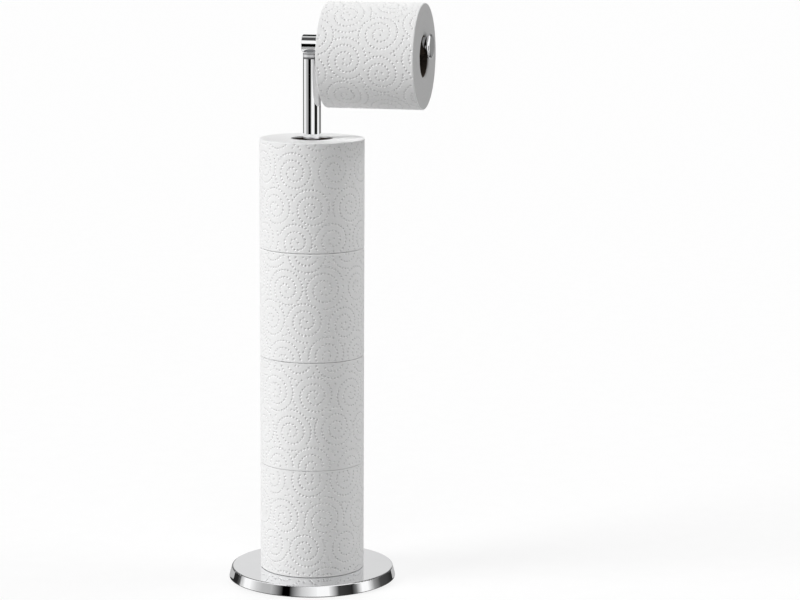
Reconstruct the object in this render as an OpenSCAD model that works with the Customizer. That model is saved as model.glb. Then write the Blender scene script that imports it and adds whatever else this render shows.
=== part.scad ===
// Free-standing toilet roll holder, in millimetres.
// A weighted round base carries an upright tube that stores four spare rolls.
// A short arm is hinged on the upright: level, it holds the roll in use, and
// folded up in line with the upright, it lets the spare rolls slide on and off.
// The upright stands on the Z axis, the floor is z = 0 and the arm points along +X.

/* [Base] */
// Diameter of the base cover at its foot
base_d = 170; // [140:1:220]
// Height of the flat top of the base above the floor
base_h = 11.5; // [10.5:0.5:20]
// Angle by which the flank leans out towards its foot
flank_lean = 14.5; // [4:0.5:30]
// Sheet thickness of the pressed base cover
cover_wall = 1.2; // [0.8:0.1:1.5]
// Outer bend radius between the flat top and the flank
cover_bend_r = 1.6; // [1.6:0.1:3]
// Height of the cover's foot above the floor
foot_gap = 0.6; // [0.4:0.1:1]
// Thickness of the non-slip pad
pad_t = 1.5; // [1.2:0.1:2.5]
// Gap round the pad inside the foot of the cover
pad_gap = 0.8; // [0.4:0.1:2]
// Gap between the iron weight and the bend of the cover
weight_gap = 1; // [0.5:0.1:3]

/* [Foot bolt] */
// Thread diameter of the bolt that holds the upright
bolt_d = 8; // [6:1:9]
// Length of the bolt under its head
bolt_l = 20; // [16:1:24]
// Diameter of the bolt head
bolt_head_d = 14; // [12:0.5:16]
// Height of the bolt head
bolt_head_h = 4.4; // [4:0.2:5.4]
// Width across the corners of the hexagon socket
socket_d = 5.8; // [4:0.1:8]
// Depth of the hexagon socket
socket_depth = 2.6; // [1.5:0.1:3.2]
// Height of the underside of the bolt head above the floor
head_lift = 1; // [0.6:0.1:1.4]
// Diameter of the washer under the bolt head
bolt_washer_d = 16; // [14.5:0.5:20]
// Thickness of the washer under the bolt head
bolt_washer_t = 1.6; // [1:0.1:2.4]
// Room round the washer in the weight and the pad
recess_gap = 1; // [0.5:0.1:3]
// Radial room round the bolt where it passes through sheet, weight and washer
bolt_gap = 0.25; // [0.1:0.05:0.5]

/* [Tube] */
// Outer diameter of the upright and of the arm
tube_d = 18; // [16:0.5:22]
// Wall of both tubes
tube_wall = 1.2; // [0.8:0.1:1.6]
// Length of the threaded plug in the foot of the upright
foot_plug_l = 20; // [16:1:40]
// Radial gap where a plug or spigot is pressed into a tube
plug_gap = 0.03; // [0.02:0.01:0.06]

/* [Hinge] */
// Length of the hinge head's spigot in the upright
spigot_l = 22; // [12:1:40]
// Difference in radius between the tube and the collar of the hinge head
collar_step = 0.1; // [0:0.05:0.3]
// Rounding of the collar's lower edge
collar_edge_r = 0.9; // [0.4:0.1:1]
// Metal left under the hollow of the collar
collar_floor = 2.1; // [1.5:0.1:5]
// Room between the swinging arm and the collar
swing_gap = 0.25; // [0.2:0.05:0.5]
// Thickness of the tongue of the hinge head
tongue_t = 6; // [4:0.2:8]
// Diameter of the round eye of the tongue
eye_d = 10; // [8:0.2:12]
// Room between the tongue and the two stop faces of the slot
stop_gap = 0.12; // [0.05:0.01:0.3]
// Diameter of the hinge pin
pin_d = 4; // [3:0.1:5]
// Length of the hinge pin
pin_l = 15; // [12:0.2:15]
// Radial clearance of the pin in the eye
pin_gap = 0.05; // [0.02:0.01:0.09]
// Radial clearance of the pin where it is pressed into the block
pin_press_gap = 0.01; // [0.01:0.005:0.03]
// Diameter of the friction washers
hinge_washer_d = 9.4; // [7:0.1:9.8]
// Thickness of each friction washer
hinge_washer_t = 0.5; // [0.3:0.05:1]
// Side clearance on each face of the friction washers
hinge_side_gap = 0.02; // [0.02:0.01:0.1]
// Thickness of the cap that closes the hinged end of the arm
cap_t = 1.4; // [1:0.1:2.5]
// Rounding of the cap's edge
cap_edge_r = 0.6; // [0.3:0.1:0.9]
// Length of the hinge block past the pin, inside the arm
block_l = 16; // [9:0.5:60]

/* [Arm end] */
// Diameter of the disc that keeps the roll on the arm
disc_d = 24.6; // [21:0.1:26]
// Thickness of the disc, its rim fully rounded
disc_t = 4.2; // [3:0.1:5]
// Radius of the hollow rounding between the arm and the disc
cove_r = 2.5; // [1.5:0.1:3]
// How far the hollow rounding bites into the round of the rim
cove_bite = 0.02; // [0.01:0.01:0.1]
// Length of the neck that carries the line of the arm on to the disc
neck_l = 3; // [2.8:0.1:6]
// Length of the disc's spigot in the arm
disc_spigot_l = 10; // [6:1:40]

/* [Rolls] */
// Outer diameter of every roll
roll_d = 105.5; // [90:0.5:120]
// Length of the roll on the arm
arm_roll_l = 97.5; // [90:0.5:120]
// Length of each spare roll on the upright
spare_roll_l = 109.5; // [90:0.5:120]
// Inner diameter of the cardboard core
core_d = 39; // [36:0.5:45]
// Wall of the cardboard core
core_wall = 1.3; // [0.6:0.1:2]
// How far the core ends short of the paper, at each end
core_recess = 1.5; // [0.5:0.1:4]
// Gap between the core and the wound paper
paper_gap = 0.05; // [0.02:0.01:0.1]
// Rounding of the outer edges of the paper
paper_edge_r = 1.5; // [0.5:0.1:4]
// Rounding of the edges of the paper round the core
paper_hole_edge_r = 0.9; // [0.3:0.1:2]
// Gap where a roll hangs or stands on what carries it
rest_gap = 0.3; // [0.2:0.05:0.5]
// Gap between the upright and the roll on the arm
roll_side_gap = 8; // [4:0.5:20]
// Gap between the roll on the arm and the disc
roll_end_gap = 3.3; // [2.9:0.1:10]
// Free height between the spare rolls and the roll on the arm
headroom = 31; // [10:1:80]

/* [Hidden] */
$fn = 96;
spare_count = 4;
// Small overlap that lets a cutter break through a surface
cut = 1;

chrome = [0.80, 0.81, 0.83];
satin = [0.66, 0.67, 0.69];
iron = [0.25, 0.25, 0.27];
steel = [0.55, 0.56, 0.58];
foam = [0.12, 0.12, 0.12];
nylon = [0.90, 0.88, 0.82];
paper = [0.95, 0.95, 0.95];
cardboard = [0.55, 0.45, 0.34];

// Base: the sheet runs flat, round the bend, down the flank and ends in a round foot
tube_r = tube_d / 2;
bore_r = tube_r - tube_wall;
plug_r = bore_r - plug_gap;
out = [cos(flank_lean), sin(flank_lean)];
down = [sin(flank_lean), -cos(flank_lean)];
foot = [(base_d - cover_wall) / 2, foot_gap + cover_wall / 2];
foot_out = foot + cover_wall / 2 * out;
foot_in = foot - cover_wall / 2 * out;
bend_z = base_h - cover_bend_r;
flank_run = (bend_z + cover_bend_r * out.y - foot_out.y) / cos(flank_lean);
bend_x = foot_out.x - flank_run * down.x - cover_bend_r * out.x;
weight_r = bend_x - weight_gap;
weight_top = base_h - cover_wall;
pad_r = foot_in.x - pad_gap;
washer_z = head_lift + bolt_head_h;
seat_z = washer_z + bolt_washer_t;
recess_r = bolt_washer_d / 2 + recess_gap;
bolt_hole_r = bolt_d / 2 + bolt_gap;

// Rolls: spare ones stand on the base, the one in use hangs on top of the arm
roll_r = roll_d / 2;
core_r = core_d / 2;
core_out_r = core_r + core_wall;
paper_in_r = core_out_r + paper_gap;
spare_pitch = spare_roll_l + rest_gap;
stack_top = base_h + spare_count * spare_pitch;
hang = core_r - tube_r - rest_gap;

// Hinge: the arm's end sweeps a ball about the pin, and the collar is hollowed to match
pivot_z = stack_top + headroom + roll_r + hang;
sweep_r = (tube_r - cap_edge_r) * sqrt(2) + cap_edge_r;
cup_r = sweep_r + swing_gap;
collar_r = tube_r - collar_step;
collar_foot = cup_r + collar_floor;
collar_rim = tube_r + swing_gap;
pole_top = pivot_z - collar_foot;
eye_r = eye_d / 2;
slot_half = tongue_t / 2 + hinge_washer_t + 2 * hinge_side_gap;
slot_r = eye_r + stop_gap;

// Arm: measured from the pin
roll_x = tube_r + roll_side_gap;
arm_end = roll_x + arm_roll_l + roll_end_gap;

// Ring or disc turned about Z, standing on z = 0, with rounded inner and outer edges
module turned(r_in, r_out, h, edge_in = 0, edge_out = 0) {
  rotate_extrude() {
    polygon([
      [r_in + edge_in, 0],
      [r_out - edge_out, 0],
      [r_out, edge_out],
      [r_out, h - edge_out],
      [r_out - edge_out, h],
      [r_in + edge_in, h],
      [r_in, h - edge_in],
      [r_in, edge_in]
    ]);
    for (side = [0, 1]) {
      if (edge_out > 0)
        translate([r_out - edge_out, side == 0 ? edge_out : h - edge_out]) circle(edge_out);
      if (edge_in > 0)
        translate([r_in + edge_in, side == 0 ? edge_in : h - edge_in]) circle(edge_in);
    }
  }
}

// Lays a piece turned about Z along the arm, starting at distance x from the pin
module along_arm(x, drop = 0) {
  translate([x, 0, pivot_z - drop]) rotate([0, 90, 0]) children();
}

// Cylinder across the arm, centred on the pin
module across(r, l) {
  rotate([90, 0, 0]) cylinder(r = r, h = l, center = true);
}

// Slot that the tongue needs over the whole swing, drawn for the level arm
module hinge_slot() {
  reach = tube_d;
  rotate([90, 0, 0]) linear_extrude(height = 2 * slot_half, center = true) {
    translate([-reach, -reach]) square([reach + slot_r, reach]);
    translate([-reach, -cut]) square([reach, cut + slot_r]);
    circle(slot_r);
  }
}

// Section between the Z axis and one face of the cover's sheet, inset from the outer face
module cover_section(inset, end) {
  bend = [bend_x, bend_z];
  bend_r = cover_bend_r - inset;
  polygon([
    [0, base_h - inset],
    [bend_x, base_h - inset],
    bend,
    bend + bend_r * out,
    foot + (cover_wall / 2 - inset) * out,
    end,
    [0, end.y]
  ]);
  translate(bend) circle(bend_r);
}

// Base cover, pressed from sheet
module base_cover() {
  color(chrome) difference() {
    union() {
      difference() {
        rotate_extrude() cover_section(0, foot_in);
        rotate_extrude() cover_section(cover_wall, foot_in + base_h * down);
      }
      rotate_extrude() translate(foot) circle(cover_wall / 2);
    }
    cylinder(r = bolt_hole_r, h = base_h + cut);
  }
}

// Cast iron disc under the cover, with a recess for the bolt head
module base_weight() {
  color(iron) translate([0, 0, pad_t]) difference() {
    turned(0, weight_r, weight_top - pad_t);
    translate([0, 0, -cut]) cylinder(r = recess_r, h = seat_z - pad_t + cut);
    translate([0, 0, -cut]) cylinder(r = bolt_hole_r, h = weight_top + cut);
  }
}

// Non-slip pad that the whole object stands on
module base_pad() {
  color(foam) turned(recess_r, pad_r, pad_t);
}

// Button head bolt, driven from below
module base_bolt() {
  color(steel) difference() {
    union() {
      translate([0, 0, head_lift]) turned(0, bolt_head_d / 2, bolt_head_h);
      translate([0, 0, washer_z - cut]) cylinder(d = bolt_d, h = bolt_l + cut);
    }
    translate([0, 0, head_lift - cut]) cylinder(d = socket_d, h = socket_depth + cut, $fn = 6);
  }
}

// Washer between the bolt head and the weight
module base_washer() {
  color(steel) translate([0, 0, washer_z]) turned(bolt_hole_r, bolt_washer_d / 2, bolt_washer_t);
}

// Threaded plug pressed into the foot of the upright
module pole_foot_plug() {
  color(steel) translate([0, 0, base_h]) turned(bolt_d / 2 + plug_gap, plug_r, foot_plug_l);
}

// Upright tube
module pole_tube() {
  color(chrome) translate([0, 0, base_h]) turned(bore_r, tube_r, pole_top - base_h);
}

// Hinge head: spigot, hollowed collar and a tongue with a round eye
module hinge_head() {
  color(satin) translate([0, 0, pivot_z]) difference() {
    union() {
      difference() {
        union() {
          translate([0, 0, -collar_foot - spigot_l]) cylinder(r = plug_r, h = spigot_l + cut);
          rotate_extrude() {
            translate([0, -collar_foot]) square([collar_r - collar_edge_r, collar_edge_r]);
            translate([0, collar_edge_r - collar_foot])
              square([collar_r, collar_foot - collar_edge_r - collar_rim]);
            translate([collar_r - collar_edge_r, collar_edge_r - collar_foot])
              circle(collar_edge_r);
          }
        }
        sphere(r = cup_r);
      }
      translate([-eye_r, -tongue_t / 2, -cup_r - collar_floor / 2])
        cube([eye_d, tongue_t, cup_r + collar_floor / 2]);
      across(eye_r, tongue_t);
    }
    across(pin_d / 2 + pin_gap, tongue_t + cut);
  }
}

// Pin pressed through the hinge block, hidden by the arm tube
module hinge_pin() {
  color(steel) translate([0, 0, pivot_z]) across(pin_d / 2, pin_l);
}

// Friction washer on each face of the tongue
module hinge_washers() {
  near = tongue_t / 2 + hinge_side_gap;
  color(nylon) for (side = [-1, 1])
    translate([0, side * (near + hinge_washer_t / 2), pivot_z]) difference() {
      across(hinge_washer_d / 2, hinge_washer_t);
      across(pin_d / 2 + pin_gap, hinge_washer_t + cut);
    }
}

// Block inside the hinged end of the arm: cap, slot for the tongue and bore for the pin
module arm_hinge_block() {
  color(chrome) difference() {
    union() {
      along_arm(-tube_r) rotate_extrude() {
        square([tube_r - cap_edge_r, cap_t]);
        translate([0, cap_edge_r]) square([tube_r, cap_t - cap_edge_r]);
        translate([tube_r - cap_edge_r, cap_edge_r]) circle(cap_edge_r);
      }
      along_arm(cap_t - tube_r - cut) cylinder(r = plug_r, h = tube_r - cap_t + cut + block_l);
    }
    translate([0, 0, pivot_z]) hinge_slot();
    translate([0, 0, pivot_z]) across(pin_d / 2 + pin_press_gap, tube_d);
  }
}

// Arm tube, slotted underneath for the tongue
module arm_tube() {
  color(chrome) difference() {
    along_arm(cap_t - tube_r) turned(bore_r, tube_r, arm_end - neck_l - cap_t + tube_r);
    translate([0, 0, pivot_z]) hinge_slot();
  }
}

// Disc with a rounded rim, a neck as thick as the arm and a spigot pressed into the arm
module arm_end_disc() {
  rim_r = disc_t / 2;
  rim = [disc_d / 2 - rim_r, rim_r];
  cove_x = tube_r + cove_r;
  cove = [cove_x, rim_r - sqrt(pow(rim_r + cove_r - cove_bite, 2) - pow(rim.x - cove_x, 2))];
  color(chrome) union() {
    along_arm(arm_end) difference() {
      rotate_extrude() {
        polygon([[0, -neck_l], [tube_r, -neck_l], [tube_r, cove.y], cove, rim, [0, rim.y]]);
        square([rim.x, disc_t]);
        translate(rim) circle(rim_r);
      }
      rotate_extrude() translate(cove) circle(cove_r);
    }
    along_arm(arm_end - neck_l - disc_spigot_l) cylinder(r = plug_r, h = disc_spigot_l + neck_l);
  }
}

// Wound paper of one roll, standing on z = 0
module roll_paper(l) {
  color(paper) turned(paper_in_r, roll_r, l, paper_hole_edge_r, paper_edge_r);
}

// Cardboard core of one roll, a little shorter than its paper
module roll_core(l) {
  color(cardboard) translate([0, 0, core_recess]) turned(core_r, core_out_r, l - 2 * core_recess);
}

// Roll in use, hanging on top of the arm
module arm_roll_paper() {
  along_arm(roll_x, hang) roll_paper(arm_roll_l);
}

module arm_roll_core() {
  along_arm(roll_x, hang) roll_core(arm_roll_l);
}

// Raises a piece to the place of spare roll i, the first one standing on the base
module in_stack(i) {
  translate([0, 0, base_h + rest_gap + (i - 1) * spare_pitch]) children();
}

base_cover();
base_weight();
base_pad();
base_bolt();
base_washer();
pole_foot_plug();
pole_tube();
hinge_head();
hinge_pin();
hinge_washers();
arm_hinge_block();
arm_tube();
arm_end_disc();
arm_roll_paper();
arm_roll_core();
for (i = [1:spare_count]) {
  in_stack(i) roll_paper(spare_roll_l);
  in_stack(i) roll_core(spare_roll_l);
}
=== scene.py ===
# %% [markdown]
# # A free-standing toilet roll holder
#
# The construction comes first: a weighted round base, an upright tube, a hinged
# arm and the axes they turn about are already settled, at their real size. This
# lesson dresses that construction. It gives every metal and plastic piece its
# finish, winds five rolls of embossed paper, and sets up a plain white studio.
#
# All lengths are in metres, +Z is up, and the upright stands on the Z axis.

# %% The fixed construction
import math

import bpy
import numpy as np
from mathutils import Matrix, Vector, kdtree
from mathutils.geometry import delaunay_2d_cdt


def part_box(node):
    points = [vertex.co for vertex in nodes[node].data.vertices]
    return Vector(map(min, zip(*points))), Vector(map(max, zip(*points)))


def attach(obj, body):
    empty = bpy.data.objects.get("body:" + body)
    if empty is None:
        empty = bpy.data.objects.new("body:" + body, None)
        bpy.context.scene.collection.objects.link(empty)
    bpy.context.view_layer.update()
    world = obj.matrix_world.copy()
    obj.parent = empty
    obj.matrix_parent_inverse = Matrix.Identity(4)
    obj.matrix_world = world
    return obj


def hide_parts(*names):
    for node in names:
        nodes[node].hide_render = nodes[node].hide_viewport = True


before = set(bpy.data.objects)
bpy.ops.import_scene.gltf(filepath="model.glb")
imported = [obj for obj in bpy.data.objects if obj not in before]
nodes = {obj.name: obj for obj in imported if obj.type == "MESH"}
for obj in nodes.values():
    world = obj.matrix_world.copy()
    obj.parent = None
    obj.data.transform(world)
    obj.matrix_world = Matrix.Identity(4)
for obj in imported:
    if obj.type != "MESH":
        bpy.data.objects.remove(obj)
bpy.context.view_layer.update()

mm = 0.001
scene = bpy.context.scene

# %% [markdown]
# ## The camera
#
# The object is seen from slightly above through a long lens, so the upright stays
# almost parallel. The camera could be aimed by hand until the picture looks right.
# Here its place was worked out instead, from the known width of the tube and the
# edges of the rolls and the base, so the aim is given as three angles: how far it
# turns about the upright, how far it looks down, and a slight tilt of the horizon.

# %% Camera
VIEW_TURN = math.radians(12.92)
VIEW_DOWN = math.radians(9.608)
VIEW_TILT = math.radians(0.286)
LENS = 115.46
CAMERA_PLACE = (0.6574, -2.4692, 0.7193)

camera = bpy.data.objects.new("camera", bpy.data.cameras.new("camera"))
camera.data.lens = LENS
camera.data.sensor_width = 36
camera.data.clip_end = 100
turn = Matrix.Rotation(VIEW_TURN, 4, "Z")
look = Matrix.Rotation(math.pi / 2 - VIEW_DOWN, 4, "X")
tilt = Matrix.Rotation(VIEW_TILT, 4, "Z")
camera.matrix_world = Matrix.Translation(CAMERA_PLACE) @ turn @ look @ tilt
scene.collection.objects.link(camera)
scene.camera = camera
scene.view_settings.view_transform = "Standard"
print("the camera looks down by", round(math.degrees(VIEW_DOWN), 1), "degrees")

# %% [markdown]
# ## Shader maths as plain expressions
#
# A finish is a small program: masks are added, multiplied and mixed until they
# say how rough or how dark each point is. Wiring the nodes one by one hides that
# program, so a small class wraps an output socket and lets Python operators add
# the Math nodes. Colours and bumps go through one method for any other node.

# %% A socket that can be calculated with
class Shade:
    """One output of a shader node, as a value in Python expressions."""

    def __init__(self, finish, socket):
        self.finish = finish
        self.socket = socket

    def __add__(self, other):
        return self.finish.maths("ADD", self, other)

    def __radd__(self, other):
        return self.finish.maths("ADD", other, self)

    def __sub__(self, other):
        return self.finish.maths("SUBTRACT", self, other)

    def __rsub__(self, other):
        return self.finish.maths("SUBTRACT", other, self)

    def __mul__(self, other):
        return self.finish.maths("MULTIPLY", self, other)

    def __truediv__(self, other):
        return self.finish.maths("DIVIDE", self, other)

    def __pow__(self, other):
        return self.finish.maths("POWER", self, other)


class Finish:
    """The shader of a material or a world in the making."""

    def __init__(self, block):
        self.block = block
        block.use_nodes = True
        self.tree = block.node_tree
        self.tree.nodes.clear()

    def node(self, kind, settings=None, values=None, out=0):
        """Adds a node: first its settings, then the values or links of its inputs."""
        made = self.tree.nodes.new(kind)
        for name, value in (settings or {}).items():
            setattr(made, name, value)
        for name, value in (values or {}).items():
            if isinstance(value, Shade):
                self.tree.links.new(value.socket, made.inputs[name])
            else:
                made.inputs[name].default_value = value
        return Shade(self, made.outputs[out]) if made.outputs else None

    def maths(self, operation, *values):
        return self.node("ShaderNodeMath", {"operation": operation}, dict(enumerate(values)))

    def place(self, *scale):
        """The point on the piece, stretched by a factor along each axis."""
        point = self.node("ShaderNodeTexCoord", out="Object")
        return self.node("ShaderNodeMapping", {}, {"Vector": point, "Scale": scale})

    def axes(self):
        """The point on the piece as its three numbers, in metres."""
        split = self.node("ShaderNodeSeparateXYZ", {}, {"Vector": self.place(1, 1, 1)})
        return [Shade(self, out) for out in split.socket.node.outputs]

    def grain(self, at, detail=3.0, roughness=0.5):
        """Soft random values from 0 to 1 for these points, with lumps about 1 wide."""
        values = {"Vector": at, "Scale": 1.0, "Detail": detail, "Roughness": roughness}
        return self.node("ShaderNodeTexNoise", {}, values)

    def noise(self, scale, detail=3.0, roughness=0.5, stretch=(1, 1, 1)):
        """Soft random values from 0 to 1, with lumps about 1 / scale metres wide."""
        return self.grain(self.place(*(scale * s for s in stretch)), detail, roughness)

    def step(self, value, low, high):
        """0 below low, 1 above high, and a smooth ramp between them."""
        values = {"Value": value, "From Min": low, "From Max": high}
        return self.node("ShaderNodeMapRange", {"interpolation_type": "SMOOTHSTEP"}, values)

    def blend(self, share, first, second):
        """The first colour where share is 0, the second where it is 1."""
        values = {0: share, 6: (*first, 1), 7: (*second, 1)}
        return self.node("ShaderNodeMix", {"data_type": "RGBA"}, values, out=2)

    def bump(self, height, depth, strength=1.0, under=None):
        """A normal for relief that is depth metres high where height is 1."""
        values = {"Strength": strength, "Distance": depth, "Height": height}
        if under is not None:
            values["Normal"] = under
        return self.node("ShaderNodeBump", {}, values)

    def finish(self, **values):
        """Ends the material in one Principled shader with these inputs."""
        named = {name.replace("_", " "): value for name, value in values.items()}
        surface = self.node("ShaderNodeBsdfPrincipled", {}, named)
        self.node("ShaderNodeOutputMaterial", {}, {"Surface": surface})
        print("finish", self.block.name, "with", len(self.tree.nodes), "nodes")
        return self.block


def finish_named(name):
    return Finish(bpy.data.materials.new(name))


# %% [markdown]
# ## Chrome plate
#
# Chrome is nearly all reflection. A perfect mirror looks like a hole in the
# picture, though, so the plate gets what a polished tube really has: a faint
# ripple left by the buffing wheel, and a haze that changes from place to place.

# %% Chrome plate
def chrome_plate():
    make = finish_named("chrome_plate_look")
    haze = make.noise(45, detail=5)
    hairs = make.noise(900, detail=2, stretch=(1, 1, 0.06))
    ripple = make.noise(60, detail=1)
    return make.finish(
        Base_Color=make.blend(haze, (0.93, 0.935, 0.945), (0.97, 0.972, 0.978)),
        Metallic=1.0,
        Roughness=0.025 + haze * 0.03 + make.step(hairs, 0.62, 0.8) * 0.03,
        Normal=make.bump(ripple, 0.00002, 0.6),
    )


chrome = chrome_plate()

# %% [markdown]
# ## Satin chrome
#
# The hinge head is matt: it was turned on a lathe and brushed before plating.
# Lathe marks run round the axis, so the noise is squeezed hard along Z. Two bands
# of the collar are painted darker by their height, as painted shade: one just under
# the hinge, for the shade of the arm above, and one at the rounded lower edge.

# %% Satin chrome
COLLAR_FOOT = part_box("pole_tube")[1].z


def satin_chrome():
    make = finish_named("satin_chrome_look")
    rings = make.noise(300, detail=3, stretch=(0.05, 0.05, 18))
    haze = make.noise(120, detail=3)
    height = make.axes()[2] - COLLAR_FOOT
    # Painted shade: under darkens a band just below the hinge, foot darkens the rounded lower
    # edge.
    under = make.step(height, 0.0040, 0.0045) * (1 - make.step(height, 0.0051, 0.0056))
    foot = 1 - make.step(height, 0.0015, 0.0021)
    # The painted shade of both bands, plus a little random haze, darkens the colour.
    painted_shade_and_haze = under * 0.7 + foot * 0.95 + haze * 0.08
    return make.finish(
        Base_Color=make.blend(painted_shade_and_haze, (0.94, 0.94, 0.95), (0.24, 0.24, 0.245)),
        Metallic=1.0,
        Roughness=0.40 + rings * 0.1 + haze * 0.06,
        Normal=make.bump(rings, 0.00001, 0.5),
    )


satin = satin_chrome()

# %% [markdown]
# ## Steel, iron, foam and nylon
#
# These finishes show from below or inside the hinge. Zinc plated steel is bluish
# and slightly cloudy. The cast iron weight keeps the grain of the sand mould under
# its black paint. The foam pad is full of small cells, and the nylon washers are
# milky with a fine moulded grain.

# %% Zinc plated steel
def zinc_steel():
    make = finish_named("zinc_steel_look")
    cloud = make.noise(260, detail=6)
    turned = make.noise(700, detail=2, stretch=(0.2, 0.2, 6))
    return make.finish(
        Base_Color=make.blend(cloud, (0.50, 0.53, 0.57), (0.68, 0.69, 0.70)),
        Metallic=1.0,
        Roughness=0.26 + cloud * 0.16,
        Normal=make.bump(turned + cloud, 0.00002, 0.5),
    )


# %% Painted cast iron
def cast_iron():
    make = finish_named("cast_iron_look")
    sand = make.noise(900, detail=6, roughness=0.65)
    worn = make.step(make.noise(70, detail=5), 0.62, 0.75)
    return make.finish(
        Base_Color=make.blend(worn, (0.018, 0.018, 0.020), (0.10, 0.085, 0.075)),
        Metallic=0.0,
        Roughness=0.52 + sand * 0.2 + worn * 0.15,
        Normal=make.bump(sand, 0.00025, 0.8),
    )


# %% Foam and nylon
def foam_pad():
    make = finish_named("foam_pad_look")
    cells = {"Vector": make.place(1400, 1400, 1400), "Scale": 1.0}
    cell = make.node("ShaderNodeTexVoronoi", {"feature": "F1"}, cells, out="Distance")
    dust = make.step(make.noise(90, detail=6), 0.55, 0.8)
    return make.finish(
        Base_Color=make.blend(dust, (0.016, 0.016, 0.016), (0.055, 0.052, 0.048)),
        Roughness=0.86 + dust * 0.1,
        Normal=make.bump(cell, 0.00018, 0.8),
    )


def nylon():
    make = finish_named("nylon_look")
    grain = make.noise(1600, detail=3)
    cloud = make.noise(150, detail=3)
    return make.finish(
        Base_Color=make.blend(cloud, (0.80, 0.78, 0.70), (0.87, 0.85, 0.78)),
        Roughness=0.38 + grain * 0.15,
        Subsurface_Weight=0.15,
        Normal=make.bump(grain, 0.00002, 0.5),
    )


# %% [markdown]
# ## Card
#
# The cores are wound from strips of grey-brown card on a slant, so one seam climbs
# the tube as a helix. Its height above a helix is the height of the point less the
# climb for its angle round the axis, and the fraction of that tells how far the
# point is from the seam. The card is painted nearly black, far darker than grey-brown,
# as painted shade for the dark inside of the hole.

# %% Card core
CARD_CLIMB = 0.092
CARD_SEAM = 0.0011


def core_card_painted_dark(name, along, across, up):
    """Card for a tube; along, across and up number the axes: up is the tube's own."""
    make = finish_named(name)
    fibre = make.noise(2200, detail=5, roughness=0.6)
    fleck = make.step(make.noise(520, detail=4), 0.56, 0.72)
    centre, height = CORE_AXES[name]
    point = make.axes()
    angle = make.maths("ARCTAN2", point[along] - centre[0], point[across] - centre[1])
    climb = (point[up] - height) / CARD_CLIMB - angle / (2 * math.pi)
    from_seam = make.maths("PINGPONG", make.maths("FRACT", climb), 0.5) * CARD_CLIMB
    seam = 1 - make.step(from_seam, CARD_SEAM * 0.3, CARD_SEAM)
    shade = fleck * 0.5 + fibre * 0.3 + seam * 0.6
    return make.finish(
        # Both colours are near black: painted shade for the inside of the hole, not the card's
        # own grey-brown.
        Base_Color=make.blend(shade, (0.040, 0.028, 0.020), (0.014, 0.009, 0.006)),
        Roughness=0.88 + fibre * 0.1,
        Normal=make.bump(fibre * 0.4 - seam, 0.00012, 0.9),
    )


# %% [markdown]
# ## Putting the finishes on the construction
#
# A piece of the construction whose shape is right stays as it is, and only its
# material changes. Each finish names the pieces that wear it.

# %% Finishes on the metal and plastic pieces
WORN_BY = {
    chrome: ["base_cover", "pole_tube", "arm_tube", "arm_hinge_block", "arm_end_disc"],
    satin: ["hinge_head"],
    zinc_steel(): ["base_bolt", "base_washer", "pole_foot_plug", "hinge_pin"],
    cast_iron(): ["base_weight"],
    foam_pad(): ["base_pad"],
    nylon(): ["hinge_washers"],
}


def wear(node, material):
    for index in range(len(nodes[node].data.materials)):
        nodes[node].data.materials[index] = material


for material, names in WORN_BY.items():
    for name in names:
        wear(name, material)
print("dressed", sum(len(names) for names in WORN_BY.values()), "pieces")

# %% Card on the five cores
ROLLS = ["arm_roll"] + [f"spare_roll_{i}" for i in range(1, 5)]
CORE_AXES = {}
for roll in ROLLS:
    low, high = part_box(roll + "_core")
    middle = (low + high) / 2
    lying = roll == "arm_roll"
    CORE_AXES[roll + "_card"] = ((middle.z, middle.y), low.x) if lying else ((0, 0), low.z)
    axes = (2, 1, 0) if lying else (0, 1, 2)
    wear(roll + "_core", core_card_painted_dark(roll + "_card", *axes))

# %% [markdown]
# ## Paper
#
# Tissue is soft and quite rough, so it hardly shines. Three things make it look
# like paper and not like plaster: cloudy density from the way the fibres settle,
# fine crepe wrinkles that run across the sheet, and a darkening in the dimples of
# the embossing, partly the plies pressed together and partly painted shade in the
# hollows. How far each point is pressed in is stored on the mesh when the roll is
# wound, and the material reads it back.

# %% Tissue
def tissue_side():
    make = finish_named("tissue_side")
    cloud = make.noise(140, detail=5)
    fibre = make.noise(2600, detail=4, roughness=0.6)
    crepe = make.noise(1500, detail=3, stretch=(1, 1, 0.22))
    quilt = make.noise(300, detail=1)
    pressed = make.node("ShaderNodeAttribute", {"attribute_name": "pressed"}, out="Fac")
    # The pressed share darkens the dimples: partly the pressed plies' own tone, partly painted
    # shade in the hollows.
    shade = cloud * 0.09 + fibre * 0.06 + pressed * 0.15
    relief = make.bump(quilt, 0.0002, 0.7)
    return make.finish(
        Base_Color=make.blend(shade, (0.91, 0.91, 0.91), (0.50, 0.50, 0.50)),
        Roughness=0.9 + fibre * 0.08,
        Specular_IOR_Level=0.25,
        Normal=make.bump(fibre * 0.5 + crepe * 0.5, 0.00003, 0.5, relief),
    )


def tissue_edge(name, pale, dark):
    """The ends of a roll, where hundreds of turns of the sheet lie edge on."""
    make = finish_named(name)
    x, y, z = make.axes()
    radius = (x * x + y * y) ** 0.5
    layer = make.grain(make.node("ShaderNodeCombineXYZ", {}, {"X": radius * 5200, "Z": z * 60}))
    wide = make.grain(make.node("ShaderNodeCombineXYZ", {}, {"X": radius * 420}))
    fluff = make.noise(1700, detail=4)
    return make.finish(
        Base_Color=make.blend(layer * 0.5 + wide * 0.5, pale, dark),
        Roughness=0.94 + fluff * 0.05,
        Specular_IOR_Level=0.2,
        Normal=make.bump(layer * 0.7 + fluff * 0.3, 0.00005, 0.6),
    )


side_look = tissue_side()
edge_look = tissue_edge("tissue_edge", (0.90, 0.90, 0.90), (0.77, 0.77, 0.77))
# The arm roll's ends: the same paper edge, its colours lowered as painted shade.
shaded_edge_look = tissue_edge("tissue_edge_painted_shade", (0.64, 0.64, 0.64), (0.50, 0.50, 0.50))

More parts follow.
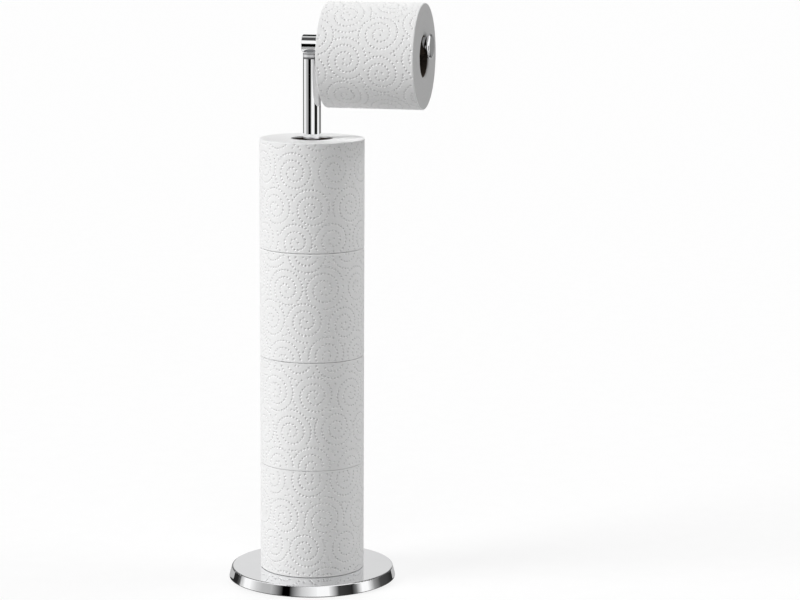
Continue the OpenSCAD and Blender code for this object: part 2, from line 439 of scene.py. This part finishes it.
# %% [markdown]
# ## The embossing
#
# Toilet tissue is pressed with small dots so that its plies hold together. Here the
# dots stand on spirals round a lattice of centres. Each centre keeps only the dots
# that are nearest to it, so the spirals run into each other the way they do on the
# sheet. Dots that come too close are left out, and single dots fill the bare places.
#
# The dots could be a bump in the material, but their walls catch the light at the
# outline of the roll too, so they are pressed into the mesh.

# %% Where the dots are
DOT_PITCH = 3.5
DOT_RADIUS = 1.6
DOT_DEPTH = 1.05
SPIRAL_PITCH = 7.1
SPIRAL_START = 1.9
SPIRAL_END = 27
CENTRE_PITCH = 41.4
CENTRE_WANDER = 4
LEAST_GAP = 3.3
FILL_GAP = 4.7
FILL_PITCH = 1.5
TAIL_MARGIN = 1.4
EDGE_MARGIN = 0.6


def ring_centres(width, height, rng):
    """Centres on a triangular lattice that closes round the roll, a little off true."""
    columns = round(width / CENTRE_PITCH)
    pitch = width / columns
    rise = pitch * math.sqrt(3) / 2
    start = rng.uniform(0, rise)
    found = []
    for row in range(-1, math.ceil(height / rise) + 2):
        for column in range(-1, columns + 2):
            wander = rng.uniform(-CENTRE_WANDER, CENTRE_WANDER, 2)
            across = (column + 0.5 * (row % 2)) * pitch + wander[0]
            found.append((across, row * rise - start + wander[1]))
    return np.array(found)


def spiral_dots(rng):
    """Dots an even step apart on one spiral round the origin."""
    turned = rng.uniform(0, 2 * math.pi)
    radius = SPIRAL_START
    found = []
    while radius < SPIRAL_END:
        found.append((radius * math.cos(turned), radius * math.sin(turned)))
        step = DOT_PITCH / radius
        turned += step
        radius += SPIRAL_PITCH * step / (2 * math.pi)
    return np.array(found)


def dot_places(width, height, rng):
    """Every dot on the unrolled sheet, width by height, in millimetres."""
    centres = ring_centres(width, height, rng)
    found = []
    for own, centre in enumerate(centres):
        dots = centre + spiral_dots(rng)
        away = np.linalg.norm(dots[:, None] - centres[None], axis=2)
        found.append(dots[away.argmin(1) == own])
    dots = np.concatenate(found)
    dots = thinned(dots[inside(dots, width, height)])
    return np.concatenate([dots, filling(dots, width, height, rng)])


def inside(dots, width, height):
    """Which dots lie wholly on the sheet, clear of its tail and edges."""
    margin = DOT_RADIUS + EDGE_MARGIN
    across = (dots[:, 0] > TAIL_MARGIN) & (dots[:, 0] < width - TAIL_MARGIN)
    return across & (dots[:, 1] > margin) & (dots[:, 1] < height - margin)


def tree_of(dots):
    """A search tree that finds the dots near a place."""
    tree = kdtree.KDTree(len(dots))
    for index, dot in enumerate(dots):
        tree.insert((dot[0], dot[1], 0), index)
    tree.balance()
    return tree


def away_from(points, dots, gap):
    """The points that lie at least gap from every dot."""
    tree = tree_of(dots)
    free = [tree.find((x, y, 0))[2] > gap for x, y in points]
    return points[np.array(free)]


def filling(dots, width, height, rng):
    """Single dots for the bare places between the spirals."""
    grid = np.meshgrid(np.arange(0, width, FILL_PITCH), np.arange(0, height, FILL_PITCH))
    spots = np.stack(grid, 2).reshape(-1, 2)
    spots = spots[inside(spots, width, height)]
    spots = rng.permutation(away_from(spots, dots, FILL_GAP))
    kept = []
    for spot in spots:
        if all(math.dist(spot, other) > FILL_GAP for other in kept):
            kept.append(spot)
    return np.array(kept).reshape(-1, 2)


def thinned(dots):
    """The dots, less each one that lies too close to one kept before it."""
    tree = tree_of(dots)
    kept = np.ones(len(dots), bool)
    for index, dot in enumerate(dots):
        if kept[index]:
            near = [i for _, i, _ in tree.find_range((dot[0], dot[1], 0), LEAST_GAP)]
            kept[[i for i in near if i > index]] = False
    return dots[kept]


# %% [markdown]
# ## Winding a roll
#
# The outside of the roll is one unrolled sheet: a flat strip as wide as the way
# round the roll and as high as its profile is long. Points are laid out on it, a
# triangulation joins them, and only then is it wrapped round the core. That puts
# many small faces at each dot and few between them.
#
# The ends are turned like a profile on a lathe, from the outer edge across the
# face, down the hole and back. The last turn of paper ends in a thin step at the
# far side of the roll, as the loose tail of a real roll does.

# %% The outside of the roll, unrolled
DOT_RINGS = [(0.28, 6), (0.52, 9), (0.76, 12), (1.0, 13)]
CLEAR_OF_DOT = 1.2
FILLER_PITCH = 2.4
FILLER_WANDER = 0.5
EDGE_ROWS = [0.35, 0.7, 1.0]
TAIL_STEP = 0.22
TAIL_RUN = 0.3
TAIL_CLEAR = 0.2
COLUMNS = 224
ROWS = 64


def sheet_points(width, height, edge_run, rng):
    """Points of the unrolled sheet, and for each the vector from its dot, or infinity."""
    dots = dot_places(width, height, rng)
    spots = [dots]
    offsets = [np.zeros_like(dots)]
    for share, count in DOT_RINGS:
        turn_by = rng.uniform(0, 2 * math.pi, (len(dots), 1))
        angles = turn_by + np.arange(count) * 2 * math.pi / count
        offset = share * DOT_RADIUS * np.stack([np.cos(angles), np.sin(angles)], 2)
        spots.append((dots[:, None] + offset).reshape(-1, 2))
        offsets.append(offset.reshape(-1, 2))
    grid = filler_points(width, height, edge_run, rng)
    grid = away_from(grid, dots, DOT_RADIUS * CLEAR_OF_DOT)
    spots.append(grid)
    offsets.append(np.full_like(grid, np.inf))
    return np.concatenate(spots), np.concatenate(offsets)


def filler_points(width, height, edge_run, rng):
    """Points between the dots: a loose grid, rows along the rounded edges and the tail."""
    margin = FILLER_PITCH * 0.6
    columns = np.arange(margin, width - TAIL_RUN - margin / 2, FILLER_PITCH)
    rows = np.arange(edge_run + margin, height - edge_run - margin / 2, FILLER_PITCH)
    loose = np.stack(np.meshgrid(columns, rows), 2).reshape(-1, 2)
    loose += rng.uniform(-FILLER_WANDER, FILLER_WANDER, loose.shape)
    inner = np.arange(1, COLUMNS) * width / COLUMNS
    levels = [edge_run * share for share in EDGE_ROWS]
    levels += [height - level for level in levels]
    inner = inner[inner < width - TAIL_RUN - TAIL_CLEAR]
    edges = np.stack(np.meshgrid(inner, levels), 2).reshape(-1, 2)
    up = np.arange(1, ROWS) * height / ROWS
    tail = np.stack([np.full_like(up, width - TAIL_RUN), up], 1)
    return np.concatenate([loose, edges, tail])


def rim_points(width, height):
    """The four sides of the unrolled sheet: foot, top, first column, last column."""
    along = np.arange(COLUMNS + 1) * width / COLUMNS
    up = np.arange(1, ROWS) * height / ROWS
    foot = np.stack([along, np.zeros_like(along)], 1)
    top = np.stack([along, np.full_like(along, height)], 1)
    first = np.stack([np.zeros_like(up), up], 1)
    last = np.stack([np.full_like(up, width), up], 1)
    return foot, top, first, last


# %% Wrapping it round the core
def profile(run, radius, length, edge):
    """Radius, height and slope angle of the roll's outside at a run from the foot."""
    arc = edge * math.pi / 2
    total = length - 2 * edge + 2 * arc
    low = np.clip(run / edge, 0, math.pi / 2)
    high = np.clip((total - run) / edge, 0, math.pi / 2)
    tilt_low = np.where(run < arc, low, math.pi / 2)
    tilt_high = np.where(run > total - arc, high, math.pi / 2)
    out = radius - edge + edge * np.minimum(np.sin(tilt_low), np.sin(tilt_high))
    up = np.clip(run - arc, 0, length - 2 * edge) + edge
    up = up - edge * np.cos(tilt_low) + edge * np.cos(tilt_high)
    lean = np.where(run > total - arc, math.pi / 2 - high, 0)
    lean = np.where(run < arc, low - math.pi / 2, lean)
    return out, up, lean


def pressed_depth(offset):
    """How deep a point is pressed, and the slope there, for its vector from the dot."""
    near = np.where(np.isfinite(offset), offset, DOT_RADIUS)
    share = np.clip(np.linalg.norm(near, axis=1) / DOT_RADIUS, 0, 1)
    depth = DOT_DEPTH * (1 - share * share * (3 - 2 * share))
    slope = DOT_DEPTH * 6 * share * (1 - share) / DOT_RADIUS
    return depth, slope


def wrapped(points, offsets, width, radius, length, edge):
    """Places, normals and pressed shares of the sheet's points, wound on the roll."""
    angle = points[:, 0] / width * 2 * math.pi
    out, up, lean = profile(points[:, 1], radius, length, edge)
    back = np.clip((width - points[:, 0]) / TAIL_RUN, 0, 1)
    out = out - TAIL_STEP * points[:, 0] / width * back
    depth, slope = pressed_depth(offsets)
    ray = np.stack([np.cos(angle), np.sin(angle), np.zeros_like(angle)], 1)
    around = np.stack([-np.sin(angle), np.cos(angle), np.zeros_like(angle)], 1)
    axis = np.array([0, 0, 1.0])
    face = ray * np.cos(lean)[:, None] + axis * np.sin(lean)[:, None]
    climb = axis * np.cos(lean)[:, None] - ray * np.sin(lean)[:, None]
    reach = np.linalg.norm(np.where(np.isfinite(offsets), offsets, 1), axis=1) + 1e-9
    aim = np.where(np.isfinite(offsets), offsets, 0) / reach[:, None]
    place = ray * out[:, None] + axis * up[:, None] - face * depth[:, None]
    normal = face - slope[:, None] * (around * aim[:, :1] + climb * aim[:, 1:])
    normal /= np.linalg.norm(normal, axis=1)[:, None]
    return place, normal, depth / DOT_DEPTH


# %% The ends and the hole
END_RINGS = 20
RING_WANDER = 0.25
LAYER_WAVE = 0.07
HOLE_STEPS = 5


def end_profile(radius, hole, length, edge, hole_edge, rng):
    """Radius and height, from the foot's outer edge inward and up the hole to the top's edge."""
    outer = radius - edge
    inner = hole + hole_edge
    reach = np.linspace(outer, inner, END_RINGS + 1)[1:-1]
    reach = reach + rng.uniform(-RING_WANDER, RING_WANDER, len(reach))
    turns = np.linspace(0, math.pi / 2, HOLE_STEPS)
    rounding = [(inner - hole_edge * math.sin(t), hole_edge * (1 - math.cos(t))) for t in turns]
    foot = list(zip(reach, rng.uniform(0, LAYER_WAVE, len(reach)))) + rounding
    top = [(r, length - z) for r, z in reversed(rounding)]
    waves = rng.uniform(0, LAYER_WAVE, len(reach))
    top += [(r, length - z) for r, z in zip(reach[::-1], waves)]
    return np.array(foot + top)


def lathe(outline, columns):
    """The outline turned about the axis: places and normals, one ring after another."""
    before = np.concatenate([outline[:1], outline[:-1]])
    after = np.concatenate([outline[1:], outline[-1:]])
    run = after - before
    run = run / np.linalg.norm(run, axis=1)[:, None]
    angle = np.arange(columns) * 2 * math.pi / columns
    ray = np.stack([np.cos(angle), np.sin(angle)], 1)
    up = np.repeat(outline[:, None, 1:], columns, 1)
    rise = np.repeat(run[:, None, :1], columns, 1)
    place = np.concatenate([outline[:, None, :1] * ray[None], up], 2)
    normal = np.concatenate([-run[:, None, 1:] * ray[None], rise], 2)
    return place.reshape(-1, 3), normal.reshape(-1, 3)


# %% One whole roll
def wind_roll(name, radius, hole, length, edge, hole_edge, end_look, seed):
    """A roll standing on z = 0 of its own frame, its tail at the angle 0."""
    rng = np.random.default_rng(seed)
    width = 2 * math.pi * radius
    height = length - 2 * edge + edge * math.pi
    foot, top, first, last = rim_points(width, height)
    inner, offsets = sheet_points(width, height, edge * math.pi / 2, rng)
    rims = np.concatenate([foot, top, first, last])
    points = np.concatenate([rims, inner])
    offsets = np.concatenate([np.full_like(rims, np.inf), offsets])
    found = delaunay_2d_cdt([Vector(p) for p in points], [], [], 0, 1e-7)
    places, normals, pressed = wrapped(points, offsets, width, radius, length, edge)
    # The last column lies on the first once the sheet is wrapped, so they share points.
    same = np.arange(len(points))
    same[COLUMNS] = 0
    same[2 * COLUMNS + 1] = COLUMNS + 1
    first_start = 2 * (COLUMNS + 1)
    last_start = first_start + len(first)
    same[last_start:last_start + len(last)] = np.arange(first_start, last_start)
    faces = same[np.array(found[2])]
    # A face that shrank to a line at the seam has one point twice, and is dropped.
    faces = faces[(faces != np.roll(faces, 1, axis=1)).all(1)]
    outline = end_profile(radius, hole, length, edge, hole_edge, rng)
    ring_places, ring_normals = lathe(outline, COLUMNS)
    start = len(points)
    rings = [np.arange(COLUMNS)]
    rings += [start + i * COLUMNS + np.arange(COLUMNS) for i in range(len(outline))]
    rings += [COLUMNS + 1 + np.arange(COLUMNS)]
    quads = []
    for near, far in zip(rings, rings[1:]):
        quads.append(np.stack([near, far, np.roll(far, -1), np.roll(near, -1)], 1))
    quads = np.concatenate(quads)
    places = np.concatenate([places, ring_places])
    normals = np.concatenate([normals, ring_normals])
    pressed = np.concatenate([pressed, np.zeros(len(ring_places))])
    return roll_object(name, end_look, places, normals, pressed, faces, quads)


def roll_object(name, end_look, places, normals, pressed, faces, quads):
    """The roll as an object: the faces are its side, the quads its ends and hole."""
    used = np.unique(np.concatenate([faces.ravel(), quads.ravel()]))
    moved = np.full(len(places), -1)
    moved[used] = np.arange(len(used))
    every = moved[faces].tolist() + moved[quads].tolist()
    mesh = bpy.data.meshes.new(name)
    mesh.from_pydata((places[used] * mm).tolist(), [], every)
    mesh.materials.append(side_look)
    mesh.materials.append(end_look)
    slots = np.repeat([0, 1], [len(faces), len(quads)])
    mesh.polygons.foreach_set("material_index", slots.astype(np.int32))
    mesh.polygons.foreach_set("use_smooth", np.ones(len(every), bool))
    share = mesh.attributes.new("pressed", "FLOAT", "POINT")
    share.data.foreach_set("value", pressed[used].astype(np.float32))
    mesh.update()
    mesh.normals_split_custom_set_from_vertices(normals[used].tolist())
    roll = bpy.data.objects.new(name, mesh)
    scene.collection.objects.link(roll)
    return roll


# %% [markdown]
# The joints between the rolls are not alike in the stack: some are closed and some
# show a dark line. So each roll has its own rounding where its side meets its ends.
# The handled roll on the arm has a wider mouth, and its ends are a copy of the paper edge
# darkened with painted shade.

# %% The five rolls in their places
PAPER_GAP = 0.05
HOLE_EDGE = 0.35
LOOSE_HOLE_EDGE = 1.8
SEED = 11
EDGES = dict(zip(ROLLS, (0.8, 0.25, 0.55, 1.15, 1.25)))
TAIL_TURNS = dict(zip(ROLLS, (200, 75, 130, 98, 152)))

for number, roll in enumerate(ROLLS):
    low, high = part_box(roll + "_paper")
    core_low, core_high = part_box(roll + "_core")
    middle = (low + high) / 2
    lying = roll == "arm_roll"
    radius = (high.y - low.y) / 2 / mm
    hole = (core_high.y - core_low.y) / 2 / mm + PAPER_GAP
    length = ((high.x - low.x) if lying else (high.z - low.z)) / mm
    edge = EDGES[roll]
    hole_edge = LOOSE_HOLE_EDGE if lying else HOLE_EDGE
    # The arm roll's ends take the copy of the paper edge that is darkened with painted shade.
    end_look = shaded_edge_look if lying else edge_look
    wound = wind_roll(roll, radius, hole, length, edge, hole_edge, end_look, SEED + number)
    turned = Matrix.Rotation(math.radians(TAIL_TURNS[roll]), 4, "Z")
    laid = Matrix.Rotation(math.pi / 2, 4, "Y") if lying else Matrix.Identity(4)
    foot = Vector((low.x, middle.y, middle.z)) if lying else Vector((0, 0, low.z))
    wound.matrix_world = Matrix.Translation(foot) @ laid @ turned
    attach(wound, roll)
    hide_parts(roll + "_paper")
    print(roll, "is", round(length, 1), "long and has", len(wound.data.polygons), "faces")

# %% [markdown]
# ## The studio
#
# White objects on white need the light to come from somewhere: the lamp on the
# left is the key, the rest only fill. The floor glows by itself for the camera and
# for mirrors, so that it is white without throwing much light on the paper, and
# the shadow on it stays faint.

# %% Floor and world
FLOOR_SEEN = 0.445
FLOOR_LIGHT = 0.33
AMBIENT = 0.02
FLOOR_SIZE = 60


def seen_directly(finish):
    """1 for the rays of the camera, of mirrors and of glass, 0 for the rays of light."""
    path = finish.node("ShaderNodeLightPath").socket.node.outputs
    straight = Shade(finish, path["Is Camera Ray"]) + Shade(finish, path["Is Glossy Ray"])
    return straight + Shade(finish, path["Is Transmission Ray"])


def pale_floor():
    make = finish_named("pale_floor")
    speckle = make.noise(40, detail=4)
    pale = make.blend(speckle, (0.19, 0.19, 0.19), (0.21, 0.21, 0.21))
    lit = make.node("ShaderNodeBsdfDiffuse", {}, {"Color": pale})
    strength = FLOOR_LIGHT + seen_directly(make) * FLOOR_SEEN
    glow = make.node("ShaderNodeEmission", {}, {"Strength": strength})
    both = make.node("ShaderNodeAddShader", {}, {0: lit, 1: glow})
    make.node("ShaderNodeOutputMaterial", {}, {"Surface": both})
    return make.block


def add_stage(name, corners, faces, material):
    mesh = bpy.data.meshes.new(name)
    mesh.from_pydata(corners, [], faces)
    mesh.materials.append(material)
    piece = bpy.data.objects.new(name, mesh)
    scene.collection.objects.link(piece)
    return piece


half = FLOOR_SIZE / 2
floor_corners = [(-half, -half, 0), (half, -half, 0), (half, half, 0), (-half, half, 0)]
add_stage("floor", floor_corners, [(0, 1, 2, 3)], pale_floor())

studio = Finish(bpy.data.worlds.new("studio"))
scene.world = studio.block
level = AMBIENT + seen_directly(studio) * (1 - AMBIENT)
sky = studio.node("ShaderNodeBackground", {}, {"Color": (1, 1, 1, 1), "Strength": level})
studio.node("ShaderNodeOutputWorld", {}, {"Surface": sky})

# %% [markdown]
# ## Lamps
#
# Every place in the studio is given by how far it is turned from the camera, seen
# from the upright, and how high it stands. Turned 0 is towards the camera, and 90
# is to its right.

# %% Lamps
CAMERA_SIDE = math.degrees(math.atan2(-math.cos(VIEW_TURN), math.sin(VIEW_TURN)))
AIM = Vector((0.0, 0.0, 0.3))


def towards(turned, rise, reach):
    """The point at that turn, rise and distance from the middle of the object."""
    a = math.radians(CAMERA_SIDE + turned)
    e = math.radians(rise)
    across = math.cos(e)
    return AIM + reach * Vector((math.cos(a) * across, math.sin(a) * across, math.sin(e)))


def soft_lamp(name, turned, rise, spread, strength):
    """An even light: strength 1 lights a white card that faces it to full white."""
    lamp = bpy.data.objects.new(name, bpy.data.lights.new(name, "SUN"))
    lamp.data.angle = math.radians(spread)
    lamp.data.energy = strength * math.pi
    place = towards(turned, rise, 2)
    aimed = (place - AIM).to_track_quat("Z", "Y").to_matrix().to_4x4()
    lamp.matrix_world = Matrix.Translation(place) @ aimed
    lamp.visible_glossy = False
    scene.collection.objects.link(lamp)


soft_lamp("key_left", -70, 30, 30, 0.78)
soft_lamp("front", 0, 50, 40, 0.21)
soft_lamp("right", 95, 35, 40, 0.385)
soft_lamp("back", 180, 30, 40, 0.54)

# %% [markdown]
# ## Black and grey flags
#
# Chrome in an all white room turns white too and loses its shape. Photographers
# stand black cards beside the camera, which show in the metal as dark lines that
# follow its form. These cards show in mirrors only: they cast no shadow and take no
# light from the paper. Most stand on the floor in a bend round the upright. Some lie
# round the base, because its leaning flank mirrors the floor, and some arch over the
# arm, because a level tube mirrors the ceiling.

# %% Flags
FLAG_STEPS = 6
LOW = (0, 0.3)
HIGH = (0.3, 0.6)
FAN_REACH = (0, 0.8)
OVER_CAMERA_VIEW = (-0.48, -0.19)
OVER_SIDE_VIEWS = (-0.19, 0.3)
LYING_HEIGHT = 0.0004
FAN_HEIGHT = 0.0008
FLANK_RADIUS = 0.086
MIRROR_TURN = 1.93
HINGE_HEIGHT = (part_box("arm_tube")[0].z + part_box("arm_tube")[1].z) / 2


def flag_look():
    make = finish_named("flag")
    glow = make.node("ShaderNodeAttribute", {"attribute_name": "glow"}, out="Fac")
    card = make.node("ShaderNodeEmission", {}, {"Strength": glow})
    make.node("ShaderNodeOutputMaterial", {}, {"Surface": card})
    return make.block


flag_material = flag_look()


def add_flag(name, bend, low, high, stops):
    """A bent card, low to high across: stops tell how bright it is along its length."""
    along = [stops[0]]
    for (start, dim), (end, bright) in zip(stops, stops[1:]):
        for step in range(1, FLAG_STEPS + 1):
            share = step / FLAG_STEPS
            along.append((start + (end - start) * share, dim + (bright - dim) * share))
    corners = [bend(place, side) for place, _ in along for side in (low, high)]
    faces = [(2 * i, 2 * i + 2, 2 * i + 3, 2 * i + 1) for i in range(len(along) - 1)]
    flag = add_stage("flag_" + name, corners, faces, flag_material)
    glow = flag.data.attributes.new("glow", "FLOAT", "POINT")
    glow.data.foreach_set("value", [shine for _, shine in along for _ in (low, high)])
    flag.visible_camera = False
    flag.visible_diffuse = False
    flag.visible_transmission = False
    flag.visible_shadow = False


def standing(reach):
    """Bends a card on the floor round the upright: places are turns from the camera."""
    def bend(turned, height):
        a = math.radians(CAMERA_SIDE + turned)
        return (reach * math.cos(a), reach * math.sin(a), height)
    return bend


def overhead(reach):
    """Bends a card over the arm: place 0 is level in front of it, 90 above, 180 behind."""
    def bend(rise, along):
        e = math.radians(rise)
        return (along, -reach * math.cos(e), HINGE_HEIGHT + reach * math.sin(e))
    return bend


def on_floor(turned, reach):
    """Lays a card on the floor round the base."""
    a = math.radians(CAMERA_SIDE + turned)
    return (reach * math.cos(a), reach * math.sin(a), LYING_HEIGHT)


def fan(turned, reach):
    """Lays a card where the flank of the base, at that turn, mirrors the floor."""
    a = math.radians(CAMERA_SIDE + turned)
    aim = math.radians(CAMERA_SIDE + turned * MIRROR_TURN)
    x = FLANK_RADIUS * math.cos(a) + reach * math.cos(aim)
    y = FLANK_RADIUS * math.sin(a) + reach * math.sin(aim)
    return (x, y, FAN_HEIGHT)


FRONT_LEFT = [(-54, 0.5), (-41, 0.1), (-37, 0), (-28, 0), (-12, 0.6), (8, 0.95)]
FRONT_RIGHT = [(24, 0.9), (37, 0.05), (56, 0.02), (62, 0.18), (71, 0.95)]
LEFT = [(-89, 0.95), (-78, 0.65), (-68, 0.5), (-50, 0.45)]
RIGHT = [(82, 0.95), (93, 0.3), (106, 0.07), (140, 0.02), (160, 0.3)]
LEFT_BACK = [(-168, 0.3), (-150, 0.25), (-140, 0.1), (-122, 0.03), (-115, 0.15), (-101, 0.95)]
POLE_LEFT_BACK = [(-168, 0.3), (-150, 0.25), (-140, 0.15), (-124, 0.05), (-116, 0.95)]
POLE_LEFT = [(-46, 0.25), (-42, 0), (-15, 0), (-8, 0.5), (-2, 0.9)]
POLE_RIGHT = [(24, 0.9), (30, 0.7), (40, 0), (68, 0), (78, 0.9)]
POLE_FAR_RIGHT = [(98, 0.95), (106, 0.3), (120, 0.25), (140, 0.05), (149, 0.3), (160, 0.36)]
POLE_FAR_LEFT = [(-88, 0.95), (-82, 0.62), (-46, 0.3)]
FLANK_LEFT = [(-72, 0.02), (-69, 0.02), (-65, 0.02), (-61, 0.1), (-58, 0.9)]
FLANK_RIGHT = [(54, 0.25), (60, 0.06), (66, 0.05), (72, 0.03), (77, 0.02)]

add_flag("left_front_low", standing(0.72), *LOW, FRONT_LEFT)
add_flag("left_front_high", standing(0.72), 0.3, 0.57, POLE_LEFT)
add_flag("right_front_low", standing(0.8), *LOW, FRONT_RIGHT)
add_flag("right_front_high", standing(0.8), *HIGH, POLE_RIGHT)
add_flag("left_low", standing(0.9), *LOW, LEFT)
add_flag("left_high", standing(0.9), *HIGH, POLE_FAR_LEFT)
add_flag("right_low", standing(0.9), *LOW, RIGHT)
add_flag("right_high", standing(0.9), *HIGH, POLE_FAR_RIGHT)
add_flag("left_back_low", standing(0.9), *LOW, LEFT_BACK)
add_flag("left_back_high", standing(0.9), *HIGH, POLE_LEFT_BACK)
add_flag("back", standing(1.0), 0, 0.5, [(160, 0.66), (200, 0.76)])
add_flag("back_high", standing(1.0), 0.5, 1.6, [(120, 0.08), (240, 0.08)])
for name, low, high, start, end, glow in (
    ("foot", 0.084, 0.115, -85, 85, 0.02),
    ("front", 0.115, 0.7, -85, 85, 0.4),
    ("right", 0.084, 0.89, 85, 130, 0.5),
    ("back", 0.084, 0.7, 130, 230, 0.5),
    ("left", 0.084, 0.89, 230, 275, 0.5),
):
    stops = [(start + (end - start) * i / 4, glow) for i in range(5)]
    add_flag("below_" + name, on_floor, low, high, stops)
add_flag("flank_left", fan, *FAN_REACH, FLANK_LEFT)
add_flag("flank_right", fan, *FAN_REACH, FLANK_RIGHT)
for name, start, end, glow, side_glow in (
    ("top_front", 43, 87, 0.08, 0.15),
    ("top", 87, 115, 0.58, 0.65),
    ("top_back", 115, 178, 0, 0.3),
):
    dark = [(start, glow), (end, glow)]
    grey = [(start, side_glow), (end, side_glow)]
    add_flag(name, overhead(0.9), *OVER_CAMERA_VIEW, dark)
    add_flag(name + "_side", overhead(0.9), *OVER_SIDE_VIEWS, grey)
